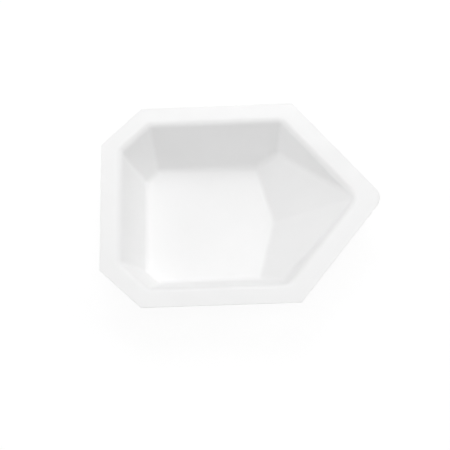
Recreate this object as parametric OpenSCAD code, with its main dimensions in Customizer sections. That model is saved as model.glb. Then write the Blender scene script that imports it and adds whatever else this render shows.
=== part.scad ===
// Weighing dish with a pouring spout: one thin moulded shell.
// A flat flange runs all the way round, drafted walls drop to a flat floor, and a
// shallow V-shaped ramp rises from the floor to the pouring tip.
// The origin is under the middle of the overall box, +X points at the tip, +Z is up.

/* [Outline] */
// Overall length, from the rear edge to the rounded tip
length = 88.6; // [82:0.2:100]
// Overall width across the flange
width = 70.6; // [64:0.2:78]
// Leg of the 45 degree cut across each rear corner
corner_cut = 13; // [11:0.5:18]
// Angle between the two edges that meet at the tip
tip_angle = 104; // [98:1:112]
// Radius of the flange at the tip
tip_r = 5; // [2:0.5:8]
// Radius of the flange's other corners
trim_r = 0.8; // [0.4:0.1:2]

/* [Flange] */
// Flange width along the rear, the cut corners and the sides
flange_w = 6.3; // [5:0.1:8]
// Flange width along the two spout edges
spout_flange_w = 6.9; // [5:0.1:8]
// Radius of the bend from the flange into the walls, on its upper face
bend_r = 2.6; // [1.5:0.1:3.4]

/* [Pan] */
// Overall height, from the underside of the floor to the top of the flange
height = 16.1; // [13.6:0.1:19]
// Thickness of the shell
wall = 0.4; // [0.3:0.05:0.8]
// Draft of the rear wall, from vertical
rear_draft = 24; // [18:1:32]
// Draft of the walls across the rear corners
corner_draft = 25; // [20:0.5:32]
// Draft of the side walls
side_draft = 28.5; // [24:0.5:33]
// Draft of the two spout walls
spout_draft = 24.5; // [20:0.5:32]
// Radius of the fillets from wall to wall and from wall to floor
fillet_r = 2.2; // [1.2:0.1:3.2]

/* [Ramp] */
// Slope of the ramp along the centre line, in degrees
ramp_slope = 31.1; // [27:0.1:34]
// How much further back the foot of the ramp lies at the side walls than on the centre line
ramp_sweep = 5.4; // [2:0.1:9]
// Radius of the fillets round the ramp
ramp_r = 3.2; // [2.4:0.1:5]

/* [Hidden] */

// Largest turn between two neighbouring points of a round corner, in degrees
arc_step = 9;
// A flat is left this many degrees before its own direction, so that both its ends get a point
flat_turn = 1;
// Slope at which the fillet round the floor begins, in degrees
floor_slope = 5;
// Slopes at which a ring of points runs through the fillet, the shoulder and the bend, in degrees
fillet_slopes = [14, 24, 34, 44, 54, 64];
shoulder_slopes = [31, 39, 47, 55, 62];
bend_slopes = [64, 54, 44, 34, 24, 15, 7, 0];
// Number of plain rings between the fillet and the bend
wall_rings = 4;
// The walls are carried up this far past the flange, so that the flange cuts them clean
overrun = 12;
// Halvings of a right angle that find a wall's tilt
halvings = 24;

// Turns that the faces look along, from +X
rear_turn = 180;
corner_turn = 135;
side_turn = 90;
half_tip = tip_angle / 2;
spout_turn = 90 - half_tip;

sharp_tip = length / 2 + tip_r * (1 / sin(half_tip) - 1);
bend_level = height - bend_r;

// Unit vector that looks along turn in plan and is tilted down by tilt
function facing(turn, tilt) = [cos(turn) * cos(tilt), sin(turn) * cos(tilt), -sin(tilt)];

// A plane is [unit normal that points out of the dish, distance from the origin]
function plane_at(normal, point) = [normal, normal * point];
function plane_on(a, b, c) = plane_at(cross(b - a, c - a) / norm(cross(b - a, c - a)), a);
function inset(plane, depth) = [plane[0], plane[1] - depth];
function meet(a, b, c) =
    (a[1] * cross(b[0], c[0]) + b[1] * cross(c[0], a[0]) + c[1] * cross(a[0], b[0]))
    / (a[0] * cross(b[0], c[0]));

// The same plane or ball on the other side of the centre line
function flip(v) = [v.x, -v.y, v.z];
function flipped(item) = [flip(item[0]), item[1]];

// Edge of the flange, and the wall that hangs from it
function edge(turn, reach) = [facing(turn, 0), reach];
function wall_plane(turn, reach, draft) =
    plane_at(facing(turn, draft), reach * facing(turn, 0) + [0, 0, height]);

rear_reach = length / 2;
corner_reach = (length / 2 + width / 2 - corner_cut) * sin(corner_turn);
side_reach = width / 2;
spout_reach = sharp_tip * sin(half_tip);

rear_edge = edge(rear_turn, rear_reach);
corner_edge = edge(corner_turn, corner_reach);
side_edge = edge(side_turn, side_reach);
spout_edge = edge(spout_turn, spout_reach);

rear_wall = wall_plane(rear_turn, rear_reach - flange_w, rear_draft);
corner_wall = wall_plane(corner_turn, corner_reach - flange_w, corner_draft);
side_wall = wall_plane(side_turn, side_reach - flange_w, side_draft);
spout_wall = wall_plane(spout_turn, spout_reach - spout_flange_w, spout_draft);
floor_plane = [[0, 0, -1], -wall];
rim_plane = [[0, 0, 1], height];
lid_plane = [[0, 0, 1], height + overrun];

// The ramp comes down from the tip of the opening to its nose, and its foot is swept back
// from there to each side wall
ramp_tip = meet(spout_wall, flipped(spout_wall), rim_plane);
ramp_nose = [ramp_tip.x - (height - wall) / tan(ramp_slope), 0, wall];
ramp_foot = meet(side_wall, floor_plane, [[1, 0, 0], ramp_nose.x - ramp_sweep]);
ramp = plane_on(ramp_nose, ramp_foot, ramp_tip);
ramp_turn = atan2(ramp[0].y, ramp[0].x);

// A ball of radius r that touches three planes from inside
function ball(a, b, c, r) = [meet(inset(a, r), inset(b, r), inset(c, r)), r];

// The shoulder is where a side wall, a spout wall and the ramp meet
shoulder = ball(side_wall, spout_wall, ramp, ramp_r);

// The inside of the dish is the hull of these balls: one at each place where its faces meet
half_pan = [
    ball(rear_wall, corner_wall, floor_plane, fillet_r),
    ball(corner_wall, side_wall, floor_plane, fillet_r),
    ball(side_wall, ramp, floor_plane, ramp_r),
    ball(ramp, flipped(ramp), floor_plane, ramp_r),
    shoulder,
    ball(spout_wall, flipped(spout_wall), ramp, ramp_r),
    ball(rear_wall, corner_wall, lid_plane, fillet_r),
    ball(corner_wall, side_wall, lid_plane, fillet_r),
    ball(side_wall, spout_wall, lid_plane, fillet_r),
    ball(spout_wall, flipped(spout_wall), lid_plane, ramp_r),
];
pan = concat(half_pan, [for (item = half_pan) flipped(item)]);

// The flange's outline is the hull of these, seen in plan
half_outline = [
    ball(rear_edge, corner_edge, rim_plane, trim_r),
    ball(corner_edge, side_edge, rim_plane, trim_r),
    ball(side_edge, spout_edge, rim_plane, trim_r),
    ball(spout_edge, flipped(spout_edge), rim_plane, tip_r),
];
outline = concat(half_outline, [for (item = half_outline) flipped(item)]);

// Point at which a hull of balls, each grown by skin, faces along normal
function touch(balls, normal, skin = 0) =
    let (
        reach = [for (item = balls) item[0] * normal + item[1]],
        item = balls[search(max(reach), reach)[0]]
    )
    item[0] + (item[1] + skin) * normal;

// Tilts just below and just above the one that the pan has at level z, facing along turn
function tilts(turn, z, skin, low = 0, high = 90, left = halvings) =
    left == 0 ? [low, high] :
    let (
        middle = (low + high) / 2,
        above = touch(pan, facing(turn, middle), skin).z > z
    )
    tilts(turn, z, skin, above ? middle : low, above ? high : middle, left - 1);

// How far the bend carries a wall of this draft outwards at level z
function flare(z, draft, skin) =
    let (r = bend_r - skin, rise = z - bend_level)
    rise <= r * sin(draft) ? 0 :
    (bend_r * (1 - sin(draft)) - skin) / cos(draft)
    + (height - z) * tan(draft) - sqrt(max(0, r * r - rise * rise));

// Point of the pan's surface at level z, facing along turn
function pan_point(turn, z, skin) =
    let (
        tilt = tilts(turn, z, skin),
        upper = touch(pan, facing(turn, tilt[0]), skin),
        lower = touch(pan, facing(turn, tilt[1]), skin),
        point = upper + (lower - upper) * (upper.z - z) / (upper.z - lower.z)
    )
    [point.x, point.y, z] + flare(z, tilt[0], skin) * facing(turn, 0);

// Directions in which every ring has a point: close to both sides of each flat's own
marks = [0, ramp_turn, spout_turn, side_turn, corner_turn, rear_turn];
half_turns = [
    for (k = [0 : len(marks) - 2])
    let (
        start = marks[k] + flat_turn,
        span = marks[k + 1] - flat_turn - start,
        steps = ceil(span / arc_step)
    )
    for (i = [0 : steps]) start + span * i / steps
];
turns = concat(half_turns, [for (i = [len(half_turns) - 1 : -1 : 0]) 360 - half_turns[i]]);

function sorted(list) =
    len(list) < 2 ? list :
    let (
        rest = [for (i = [1 : len(list) - 1]) list[i]],
        less = [for (value = rest) if (value < list[0]) value],
        more = [for (value = rest) if (value > list[0]) value]
    )
    concat(sorted(less), [list[0]], sorted(more));

// Levels of the rings of one face of the shell, from the floor to the flange
function levels(skin) =
    let (
        low = wall - skin + (fillet_r + skin) * (1 - cos(max(fillet_slopes))),
        high = bend_level + (bend_r - skin) * cos(max(bend_slopes))
    )
    sorted(concat(
        [for (slope = fillet_slopes) wall - skin + (fillet_r + skin) * (1 - cos(slope))],
        [for (i = [1 : wall_rings]) low + (high - low) * i / (wall_rings + 1)],
        [for (slope = shoulder_slopes) shoulder[0].z - (ramp_r + skin) * cos(slope)],
        [for (slope = bend_slopes) bend_level + (bend_r - skin) * cos(slope)]
    ));

function level_ring(z, points) = [for (point = points) [point.x, point.y, z]];
function floor_ring(skin) =
    level_ring(wall - skin, [for (turn = turns) touch(pan, facing(turn, 90 - floor_slope), skin)]);
function pan_rings(skin) =
    concat([floor_ring(skin)], [for (z = levels(skin)) [for (turn = turns) pan_point(turn, z, skin)]]);
function flange_ring(z) = level_ring(z, [for (turn = turns) touch(outline, facing(turn, 0))]);

function reversed(list) = [for (i = [len(list) - 1 : -1 : 0]) list[i]];

// Closed skin through a stack of rings that have the same number of points
module loft(rings) {
    count = len(rings[0]);
    last = len(rings) - 1;
    sides = [
        for (i = [0 : last - 1], j = [0 : count - 1])
        let (a = i * count + j, b = i * count + (j + 1) % count)
        each [[a, b, a + count], [b, b + count, a + count]]
    ];
    start = [for (j = [count - 1 : -1 : 0]) j];
    end = [for (j = [0 : count - 1]) last * count + j];
    polyhedron([for (ring = rings) each ring], concat([start, end], sides));
}

module dish() {
    color("whitesmoke")
    loft(concat(
        pan_rings(0),
        [flange_ring(height), flange_ring(height - wall)],
        reversed(pan_rings(wall))
    ));
}

dish();
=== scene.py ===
from math import ceil, cos, radians, sin, tan

import bmesh
import bpy
import numpy as np
from mathutils import Matrix, Vector


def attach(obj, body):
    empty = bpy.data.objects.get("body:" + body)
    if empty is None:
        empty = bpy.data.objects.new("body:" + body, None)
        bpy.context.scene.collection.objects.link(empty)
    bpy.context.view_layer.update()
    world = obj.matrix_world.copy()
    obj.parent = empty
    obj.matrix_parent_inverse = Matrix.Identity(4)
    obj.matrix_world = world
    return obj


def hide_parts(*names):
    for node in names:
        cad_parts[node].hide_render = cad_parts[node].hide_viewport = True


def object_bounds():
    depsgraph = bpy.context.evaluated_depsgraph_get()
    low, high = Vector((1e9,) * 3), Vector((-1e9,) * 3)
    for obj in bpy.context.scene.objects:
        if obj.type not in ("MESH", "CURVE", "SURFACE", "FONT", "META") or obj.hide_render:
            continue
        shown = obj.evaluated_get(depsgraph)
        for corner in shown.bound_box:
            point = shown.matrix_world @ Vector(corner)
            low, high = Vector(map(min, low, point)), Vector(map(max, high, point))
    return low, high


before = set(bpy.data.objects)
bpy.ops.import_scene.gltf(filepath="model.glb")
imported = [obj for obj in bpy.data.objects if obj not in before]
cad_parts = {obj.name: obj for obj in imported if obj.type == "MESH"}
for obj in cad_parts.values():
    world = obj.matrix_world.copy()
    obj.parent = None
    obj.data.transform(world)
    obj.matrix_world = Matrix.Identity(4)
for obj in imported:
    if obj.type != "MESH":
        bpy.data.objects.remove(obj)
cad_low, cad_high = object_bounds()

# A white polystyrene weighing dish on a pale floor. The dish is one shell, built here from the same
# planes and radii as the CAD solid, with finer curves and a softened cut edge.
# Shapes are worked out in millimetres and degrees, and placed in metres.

MM = 0.001

# Overall size, from the frame
LENGTH, WIDTH, HEIGHT = [side / MM for side in cad_high - cad_low]

# Outline of the flange
CORNER_CUT = 13.0
TIP_ANGLE = 104.0
TIP_R = 5.0
TRIM_R = 0.8

# Flange and the bend below it
FLANGE_W = 6.3
SPOUT_FLANGE_W = 6.9
BEND_R = 2.6

# Walls, floor and ramp
WALL = 0.4
REAR_DRAFT = 24.0
CORNER_DRAFT = 25.0
SIDE_DRAFT = 28.5
SPOUT_DRAFT = 24.5
FILLET_R = 2.2
RAMP_SLOPE = 31.1
RAMP_SWEEP = 5.4
RAMP_R = 3.2

# Radii of the cut edge, above and below
EDGE_TOP_R = 0.08
EDGE_LOW_R = 0.28

# The walls are carried up this far past the flange, so that the flange cuts them clean
OVERRUN = 12.0
# Halvings of a right angle that find a wall's tilt
HALVINGS = 40

# Turn from one point of a ring to the next, before the points are spread evenly
TURN_STEP = 0.5
# Longest cell along a ring, and the length that a radian of turn adds to a stretch
CELL = 0.7
TURN_WEIGHT = 4.0
# Slope at which the fillet round the floor begins, and slope from ring to ring in a fillet or bend
FLOOR_SLOPE = 2.0
SLOPE_STEP = 5.0
# Greatest height from ring to ring on the plain walls
LEVEL_GAP = 0.45
# Cells across the flange, and turn from ring to ring round its cut edge
FLANGE_CELLS = 5
EDGE_STEP = 30.0
# Points closer than this are merged
MERGE = 0.035
# The map through which the material can be baked: its name, the width that it gives to each unit
# of height, and the gap between its halves
BAKE_MAP = "OFBake"
BAKE_SPREAD = 0.5
BAKE_GAP = 2.0

# Directions that the faces look along, as turns from +X in degrees
REAR_TURN, CORNER_TURN, SIDE_TURN = 180.0, 135.0, 90.0
SPOUT_TURN = 90 - TIP_ANGLE / 2


# ---- Planes and balls ------------------------------------------------------------------------
# A plane is its unit normal, which points out of the dish, and its distance from the origin.
# A ball is its centre and its radius, and a hull of balls is a body with round edges.


def facing(turn, tilt):
    """Unit vectors that look along turn in plan and are tilted down by tilt, both in degrees."""
    turn, tilt = np.broadcast_arrays(np.radians(turn), np.radians(tilt))
    return np.stack([np.cos(turn) * np.cos(tilt), np.sin(turn) * np.cos(tilt), -np.sin(tilt)], -1)


def plane_at(normal, point):
    """The plane with this normal that holds a point."""
    return normal, float(normal @ point)


def plane_on(a, b, c):
    """The plane that holds three points."""
    normal = np.cross(b - a, c - a)
    return plane_at(normal / np.linalg.norm(normal), a)


def meet(*planes):
    """The point that three planes share."""
    normals, distances = zip(*planes)
    return np.linalg.solve(np.array(normals), np.array(distances))


def ball(a, b, c, radius):
    """A ball that touches three planes from inside."""
    return meet(*[(normal, distance - radius) for normal, distance in (a, b, c)]), radius


def flipped(item):
    """The same plane or ball on the other side of the centre line."""
    return item[0] * np.array([1, -1, 1]), item[1]


def both_sides(items):
    """These planes or balls, and the same on the other side of the centre line."""
    return items + [flipped(item) for item in items]


def edge(turn, reach):
    """The upright plane of one side of the outline, at reach from the origin."""
    return facing(turn, 0), reach


def wall_plane(turn, reach, draft):
    """The wall that hangs from the opening's straight side at reach."""
    return plane_at(facing(turn, draft), reach * facing(turn, 0) + np.array([0, 0, HEIGHT]))


def touch(balls, normals, skin=0.0):
    """Points at which a hull of balls, each grown by skin, faces along each of the normals."""
    centres = np.array([centre for centre, radius in balls])
    radii = np.array([radius for centre, radius in balls])
    pick = (normals @ centres.T + radii).argmax(-1)
    return centres[pick] + (radii[pick] + skin)[..., None] * normals


def shape_of_dish():
    """The balls round the dish's inside, those round its outline, and the turns of its flats."""
    half_tip = radians(TIP_ANGLE / 2)
    sharp_tip = LENGTH / 2 + TIP_R * (1 / sin(half_tip) - 1)
    rear_reach = LENGTH / 2
    corner_reach = (LENGTH / 2 + WIDTH / 2 - CORNER_CUT) * sin(radians(CORNER_TURN))
    side_reach = WIDTH / 2
    spout_reach = sharp_tip * sin(half_tip)

    rear = wall_plane(REAR_TURN, rear_reach - FLANGE_W, REAR_DRAFT)
    corner = wall_plane(CORNER_TURN, corner_reach - FLANGE_W, CORNER_DRAFT)
    side = wall_plane(SIDE_TURN, side_reach - FLANGE_W, SIDE_DRAFT)
    spout = wall_plane(SPOUT_TURN, spout_reach - SPOUT_FLANGE_W, SPOUT_DRAFT)
    up = np.array([0.0, 0.0, 1.0])
    floor, rim, lid = (-up, -WALL), (up, HEIGHT), (up, HEIGHT + OVERRUN)

    tip = meet(spout, flipped(spout), rim)
    nose = np.array([tip[0] - (HEIGHT - WALL) / tan(radians(RAMP_SLOPE)), 0, WALL])
    foot = meet(side, floor, (np.array([1.0, 0.0, 0.0]), nose[0] - RAMP_SWEEP))
    ramp = plane_on(nose, foot, tip)
    ramp_turn = float(np.degrees(np.arctan2(ramp[0][1], ramp[0][0])))

    pan = both_sides([
        ball(rear, corner, floor, FILLET_R),
        ball(corner, side, floor, FILLET_R),
        ball(side, ramp, floor, RAMP_R),
        ball(ramp, flipped(ramp), floor, RAMP_R),
        ball(side, spout, ramp, RAMP_R),
        ball(spout, flipped(spout), ramp, RAMP_R),
        ball(rear, corner, lid, FILLET_R),
        ball(corner, side, lid, FILLET_R),
        ball(side, spout, lid, FILLET_R),
        ball(spout, flipped(spout), lid, RAMP_R),
    ])
    edges = [edge(REAR_TURN, rear_reach), edge(CORNER_TURN, corner_reach),
             edge(SIDE_TURN, side_reach), edge(SPOUT_TURN, spout_reach)]
    outline = both_sides(
        [ball(one, other, rim, TRIM_R) for one, other in zip(edges, edges[1:])]
        + [ball(edges[-1], flipped(edges[-1]), rim, TIP_R)]
    )
    half = [ramp_turn, SPOUT_TURN, SIDE_TURN, CORNER_TURN]
    return pan, outline, half + [REAR_TURN] + [360 - turn for turn in reversed(half)]


# ---- Rings of points round the dish ----------------------------------------------------------


def directions(marks):
    """Close turns all the way round, and the places in that list that lie halfway from flat to flat."""
    halfway = [0.0] + [(here + following) / 2 for here, following in zip(marks, marks[1:])] + [360.0]
    turns, joints = [0.0], [0]
    for start, end in zip(halfway, halfway[1:]):
        steps = ceil((end - start) / TURN_STEP)
        turns += list(np.linspace(start, end, steps + 1)[1:])
        joints.append(len(turns) - 1)
    return np.array(turns), joints


def flare(level, draft, skin):
    """How far the bend carries walls of these drafts outwards at a level."""
    radius = BEND_R - skin
    rise = level - (HEIGHT - BEND_R)
    across = np.sqrt(max(0.0, radius**2 - rise**2))
    draft = np.radians(draft)
    carried = (BEND_R * (1 - np.sin(draft)) - skin) / np.cos(draft) + (HEIGHT - level) * np.tan(draft)
    return np.where(rise <= radius * np.sin(draft), 0.0, carried - across)


def pan_ring(pan, turns, level, skin):
    """The pan's section at a level, grown by skin, with the bend into the flange."""
    low, high = np.zeros_like(turns), np.full_like(turns, 90.0)
    for _ in range(HALVINGS):
        middle = (low + high) / 2
        above = touch(pan, facing(turns, middle), skin)[:, 2] > level
        low, high = np.where(above, middle, low), np.where(above, high, middle)
    upper, lower = touch(pan, facing(turns, low), skin), touch(pan, facing(turns, high), skin)
    drop = upper[:, 2] - lower[:, 2]
    share = np.where(drop > 0, (upper[:, 2] - level) / np.where(drop > 0, drop, 1.0), 0.0)
    points = upper + (lower - upper) * share[:, None]
    points[:, 2] = level
    return points + flare(level, low, skin)[:, None] * facing(turns, 0.0)


def levels(skin):
    """Heights of the rings of one face of the shell, from the floor to the flange."""
    floor, fillet, bend = WALL - skin, FILLET_R + skin, BEND_R - skin
    slopes = np.arange(SLOPE_STEP, 90 - REAR_DRAFT, SLOPE_STEP)
    low = [floor + fillet * (1 - cos(radians(slope))) for slope in slopes]
    high = [HEIGHT - BEND_R + bend * cos(radians(slope)) for slope in slopes[::-1]]
    steps = ceil((high[0] - low[-1]) / LEVEL_GAP)
    plain = [low[-1] + (high[0] - low[-1]) * i / steps for i in range(1, steps)]
    return low + plain + high + [HEIGHT - skin]


def face_rings(pan, turns, skin):
    """Every ring of one face of the shell: skin is 0 for the inside and the wall for the outside."""
    floor = touch(pan, facing(turns, 90 - FLOOR_SLOPE), skin)
    floor[:, 2] = WALL - skin
    return [floor] + [pan_ring(pan, turns, level, skin) for level in levels(skin)]


def flange_rings(outline, turns, inner):
    """Rings across the top of the flange, round the cut edge and back along the underside."""
    outer = touch(outline, facing(turns, 0.0))
    outwards = facing(turns, 0.0)

    def shifted(inset, level):
        ring = outer - inset * outwards
        ring[:, 2] = level
        return ring

    edge_top, edge_low = shifted(EDGE_TOP_R, HEIGHT), shifted(EDGE_LOW_R, HEIGHT - WALL)
    shares = [i / FLANGE_CELLS for i in range(1, FLANGE_CELLS)]
    angles = np.radians(np.arange(0.0, 90 + EDGE_STEP / 2, EDGE_STEP))
    top = [inner[0] + (edge_top - inner[0]) * share for share in shares]
    upper = [shifted(EDGE_TOP_R * (1 - sin(a)), HEIGHT - EDGE_TOP_R * (1 - cos(a))) for a in angles]
    lower = [shifted(EDGE_LOW_R * (1 - cos(a)), HEIGHT - WALL + EDGE_LOW_R * (1 - sin(a))) for a in angles]
    below = [inner[1] + (edge_low - inner[1]) * share for share in reversed(shares)]
    return top + upper + lower + below


def evened(rings, turns, joints):
    """The same rings with evenly spread points, closer where they turn, between one joint and the next."""
    steps = np.linalg.norm(np.diff(rings, axis=1), axis=2) + TURN_WEIGHT * np.radians(np.diff(turns))
    travelled = np.concatenate([np.zeros((len(rings), 1)), np.cumsum(steps, axis=1)], axis=1)
    stretches = travelled[:, joints]
    places = []
    for start, end in zip(stretches.T, stretches.T[1:]):
        cells = ceil((end - start).max() / CELL)
        places.append(start[:, None] + (end - start)[:, None] * np.arange(cells) / cells)
    places = np.concatenate(places, axis=1)
    return np.array([
        [np.interp(place, way, ring[:, axis]) for axis in range(3)]
        for place, way, ring in zip(places, travelled, rings)
    ]).transpose(0, 2, 1)


def spread_out(rings):
    """Places of level rings on a flat map, where what is upright gets some width as well."""
    edge = rings[-1, :, :2]
    along = np.roll(edge, -1, axis=0) - np.roll(edge, 1, axis=0)
    outwards = along[:, ::-1] * [1, -1] / np.linalg.norm(along, axis=1)[:, None]
    heights = rings[:, 0, 2]
    climbed = np.cumsum(np.abs(np.diff(heights, prepend=heights[0])))
    return rings[..., :2] + BAKE_SPREAD * climbed[:, None, None] * outwards


def add_bake_map(mesh, rings, faces, split):
    """A flat map in two halves, so that its only seam runs along the ring split, on the cut edge."""
    parted = split * rings.shape[1]
    upper = spread_out(rings[: split + 1])
    lower = spread_out(rings[split:][::-1])[::-1] * [1, -1]
    lower[..., 1] += upper[..., 1].min() - lower[..., 1].max() - BAKE_GAP
    upper, lower = upper.reshape(-1, 2), lower.reshape(-1, 2)
    places = []
    for face in faces:
        if face[0] < parted:
            places += [upper[corner] for corner in face]
        else:
            places += [lower[corner - parted] for corner in face]
    places = np.array(places)
    low, high = places.min(axis=0), places.max(axis=0)
    layer = mesh.uv_layers.new(name=BAKE_MAP)
    layer.uv.foreach_set("vector", ((places - low) / (high - low)).ravel())


def lofted(name, rings, split):
    """A mesh through rings that have the same number of points, closed by a fan at both ends."""
    middles = [np.broadcast_to(ring.mean(axis=0), ring.shape) for ring in (rings[0], rings[-1])]
    rings = np.stack([middles[0], *rings, middles[1]])
    count = rings.shape[1]
    faces = []
    for i in range(len(rings) - 1):
        for j in range(count):
            a, b = i * count + j, i * count + (j + 1) % count
            faces.append((a, b, b + count, a + count))
    mesh = bpy.data.meshes.new(name)
    mesh.from_pydata((rings.reshape(-1, 3) * MM).tolist(), [], faces)
    add_bake_map(mesh, rings, faces, split + 1)
    work = bmesh.new()
    work.from_mesh(mesh)
    bmesh.ops.remove_doubles(work, verts=work.verts, dist=MERGE * MM)
    bmesh.ops.recalc_face_normals(work, faces=work.faces)
    for face in work.faces:
        face.smooth = True
    work.to_mesh(mesh)
    work.free()
    piece = bpy.data.objects.new(name, mesh)
    bpy.context.scene.collection.objects.link(piece)
    return piece


def make_dish():
    """The whole shell, as a loft from the inside of its floor, round the flange's edge, to the outside."""
    pan, outline, marks = shape_of_dish()
    turns, joints = directions(marks)
    inside, outside = face_rings(pan, turns, 0.0), face_rings(pan, turns, WALL)
    flange = flange_rings(outline, turns, (inside[-1], outside[-1]))
    rings = evened(np.array(inside + flange + outside[::-1]), turns, joints)
    dish = lofted("weighing_dish", rings, split=len(inside) + len(flange) // 2 - 1)
    dish.modifiers.new("even_flats", "WEIGHTED_NORMAL")
    return dish


# ---- Materials -------------------------------------------------------------------------------

# The plastic's refraction, and how much and how deep light spreads inside it
PLASTIC_IOR = 1.59
SPREAD_SHARE = 0.3
SPREAD_DEPTH = 0.4
# Lightness and roughness drift between these, in patches of these sizes
TONE, TONE_PATCH = (0.90, 0.92), 22.0
ROUGHNESS, ROUGHNESS_PATCH = (0.38, 0.48), 6.0
# Sizes and depths of the sheet's slight waves and of its grain
WAVE, WAVE_DEPTH = 16.0, 0.02
GRAIN, GRAIN_DEPTH = 0.5, 0.002

# The floor's lightness as it lights the dish, and as it is seen: a glow and the share that takes shadows
FLOOR_LIGHTING = 0.85
FLOOR_GLOW = 0.89
FLOOR_SHADED = 0.14


def grey(lightness):
    return lightness, lightness, lightness, 1.0


def empty_tree(owner):
    """The node tree of a new material or world."""
    owner.use_nodes = True
    owner.node_tree.nodes.clear()
    return owner.node_tree


def add(tree, kind, *sources, **values):
    """A new node. Sources feed its first inputs, and values set its properties and inputs by name."""
    node = tree.nodes.new(kind)
    for name, value in values.items():
        if name in node.bl_rna.properties:
            setattr(node, name, value)
        elif isinstance(value, bpy.types.NodeSocket):
            tree.links.new(value, node.inputs[name.replace("_", " ")])
        else:
            node.inputs[name.replace("_", " ")].default_value = value
    for source, socket in zip(sources, node.inputs):
        tree.links.new(source, socket)
    return node


def noise(tree, place, size, detail=2.0):
    """Noise whose humps are about this size."""
    return add(tree, "ShaderNodeTexNoise", place, Scale=1 / (size * MM), Detail=detail).outputs["Fac"]


def spread(tree, value, limits):
    """Noise, which stays mostly between 0.3 and 0.7, stretched from the lower to the upper limit."""
    low, high = limits
    node = add(tree, "ShaderNodeMapRange", value, From_Min=0.3, From_Max=0.7, To_Min=low, To_Max=high)
    return node.outputs["Result"]


def white_plastic():
    """Satin white polystyrene sheet."""
    material = bpy.data.materials.new("white_polystyrene")
    tree = empty_tree(material)
    place = add(tree, "ShaderNodeTexCoord").outputs["Object"]
    waves = add(tree, "ShaderNodeBump", Height=noise(tree, place, WAVE), Distance=WAVE_DEPTH * MM)
    grain = add(tree, "ShaderNodeBump", Height=noise(tree, place, GRAIN), Distance=GRAIN_DEPTH * MM)
    tree.links.new(waves.outputs["Normal"], grain.inputs["Normal"])
    shader = add(
        tree, "ShaderNodeBsdfPrincipled",
        IOR=PLASTIC_IOR,
        Subsurface_Weight=SPREAD_SHARE,
        Subsurface_Scale=SPREAD_DEPTH * MM,
        Subsurface_Radius=(1.0, 1.0, 1.0),
        Base_Color=spread(tree, noise(tree, place, TONE_PATCH), TONE),
        Roughness=spread(tree, noise(tree, place, ROUGHNESS_PATCH, detail=4.0), ROUGHNESS),
        Normal=grain.outputs["Normal"],
    )
    add(tree, "ShaderNodeOutputMaterial", shader.outputs["BSDF"])
    return material


def background_rays(tree):
    """1 for rays that show the background, straight or in gloss and glass, and 0 for all others."""
    paths = add(tree, "ShaderNodeLightPath")
    shown = paths.outputs["Is Camera Ray"]
    for kind in ("Is Glossy Ray", "Is Transmission Ray"):
        shown = add(tree, "ShaderNodeMath", shown, paths.outputs[kind], operation="MAXIMUM").outputs[0]
    return shown


def background(tree, lighting, shown):
    """One shader that lights the dish, and another that is seen as the background."""
    return add(tree, "ShaderNodeMixShader", background_rays(tree), lighting, shown).outputs[0]


def pale_floor():
    """A floor that looks white, and still darkens under the dish."""
    material = bpy.data.materials.new("pale_floor")
    tree = empty_tree(material)
    lighting = add(tree, "ShaderNodeBsdfDiffuse", Color=grey(FLOOR_LIGHTING))
    shaded = add(tree, "ShaderNodeBsdfDiffuse", Color=grey(FLOOR_SHADED))
    glow = add(tree, "ShaderNodeEmission", Color=grey(1.0), Strength=FLOOR_GLOW)
    shown = add(tree, "ShaderNodeAddShader", shaded.outputs[0], glow.outputs[0])
    add(tree, "ShaderNodeOutputMaterial", background(tree, lighting.outputs[0], shown.outputs[0]))
    return material


# ---- Studio ----------------------------------------------------------------------------------

# The floor lies this little below the dish
FLOOR_GAP = 0.05
FLOOR_SIDE = 6000.0

# The camera looks at a point on the level of the flange, from a turn and elevation, with a roll
AIM = Vector((-4.9, -8.1, 16.1))
CAMERA_DISTANCE = 463.6
CAMERA_TURN = 2.52
CAMERA_ELEVATION = 64.0
CAMERA_ROLL = -4.24
LENS = 118.0
SENSOR = 36.0
CLIP = (10.0, 20000.0)

# Square soft lights that face the dish: name, turn, elevation, distance, side and power in watts
LIGHTS = [
    ("back_key", 90.0, 45.0, 400.0, 300.0, 0.33),
    ("back", 90.0, 60.0, 1200.0, 600.0, 2.44),
    ("front", 270.0, 71.0, 1200.0, 600.0, 2.42),
    ("left", 199.0, 19.0, 1200.0, 600.0, 2.12),
    ("right", 8.0, 35.0, 1200.0, 600.0, 2.58),
]
# Strength of the even light from all round
WORLD_LIGHT = 0.344


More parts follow.
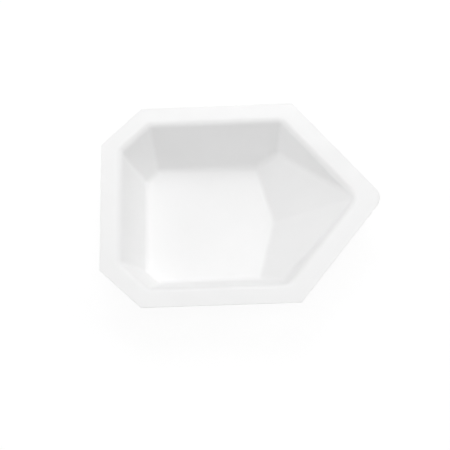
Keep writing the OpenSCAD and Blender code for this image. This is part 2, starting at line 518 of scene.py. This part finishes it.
def make_floor():
    half, level = FLOOR_SIDE / 2 * MM, cad_low.z - FLOOR_GAP * MM
    corners = [(-half, -half, level), (half, -half, level), (half, half, level), (-half, half, level)]
    mesh = bpy.data.meshes.new("floor")
    mesh.from_pydata(corners, [], [(0, 1, 2, 3)])
    mesh.materials.append(pale_floor())
    floor = bpy.data.objects.new("floor", mesh)
    bpy.context.scene.collection.objects.link(floor)


def make_camera():
    turn = Matrix.Rotation(radians(CAMERA_TURN), 3, "Z")
    lift = Matrix.Rotation(radians(90 - CAMERA_ELEVATION), 3, "X")
    roll = Matrix.Rotation(radians(CAMERA_ROLL), 3, "Z")
    axes = turn @ lift @ roll
    place = (AIM + axes.col[2] * CAMERA_DISTANCE) * MM
    data = bpy.data.cameras.new("camera")
    data.lens, data.sensor_width = LENS, SENSOR
    data.clip_start, data.clip_end = [distance * MM for distance in CLIP]
    camera = bpy.data.objects.new("camera", data)
    camera.matrix_world = Matrix.Translation(place) @ axes.to_4x4()
    bpy.context.scene.collection.objects.link(camera)
    bpy.context.scene.camera = camera


def soft_light(name, turn, elevation, distance, side, power):
    """A square area light that faces the dish."""
    data = bpy.data.lights.new(name, "AREA")
    data.shape, data.size, data.energy = "SQUARE", side * MM, power
    light = bpy.data.objects.new(name, data)
    back = Vector(facing(turn, -elevation).tolist())
    light.location = back * distance * MM
    light.rotation_euler = back.to_track_quat("Z", "Y").to_euler()
    light.visible_camera = False
    bpy.context.scene.collection.objects.link(light)


def make_world():
    """Even light from all round, and a white background."""
    world = bpy.data.worlds.new("studio")
    tree = empty_tree(world)
    lighting = add(tree, "ShaderNodeBackground", Color=grey(1.0), Strength=WORLD_LIGHT)
    shown = add(tree, "ShaderNodeBackground", Color=grey(1.0), Strength=1.0)
    add(tree, "ShaderNodeOutputWorld", background(tree, lighting.outputs[0], shown.outputs[0]))
    bpy.context.scene.world = world


make_camera()
make_floor()
dish = make_dish()
dish.data.materials.append(white_plastic())
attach(dish, "root")
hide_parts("dish")
for light in LIGHTS:
    soft_light(*light)
make_world()
bpy.context.scene.view_settings.view_transform = "Standard"
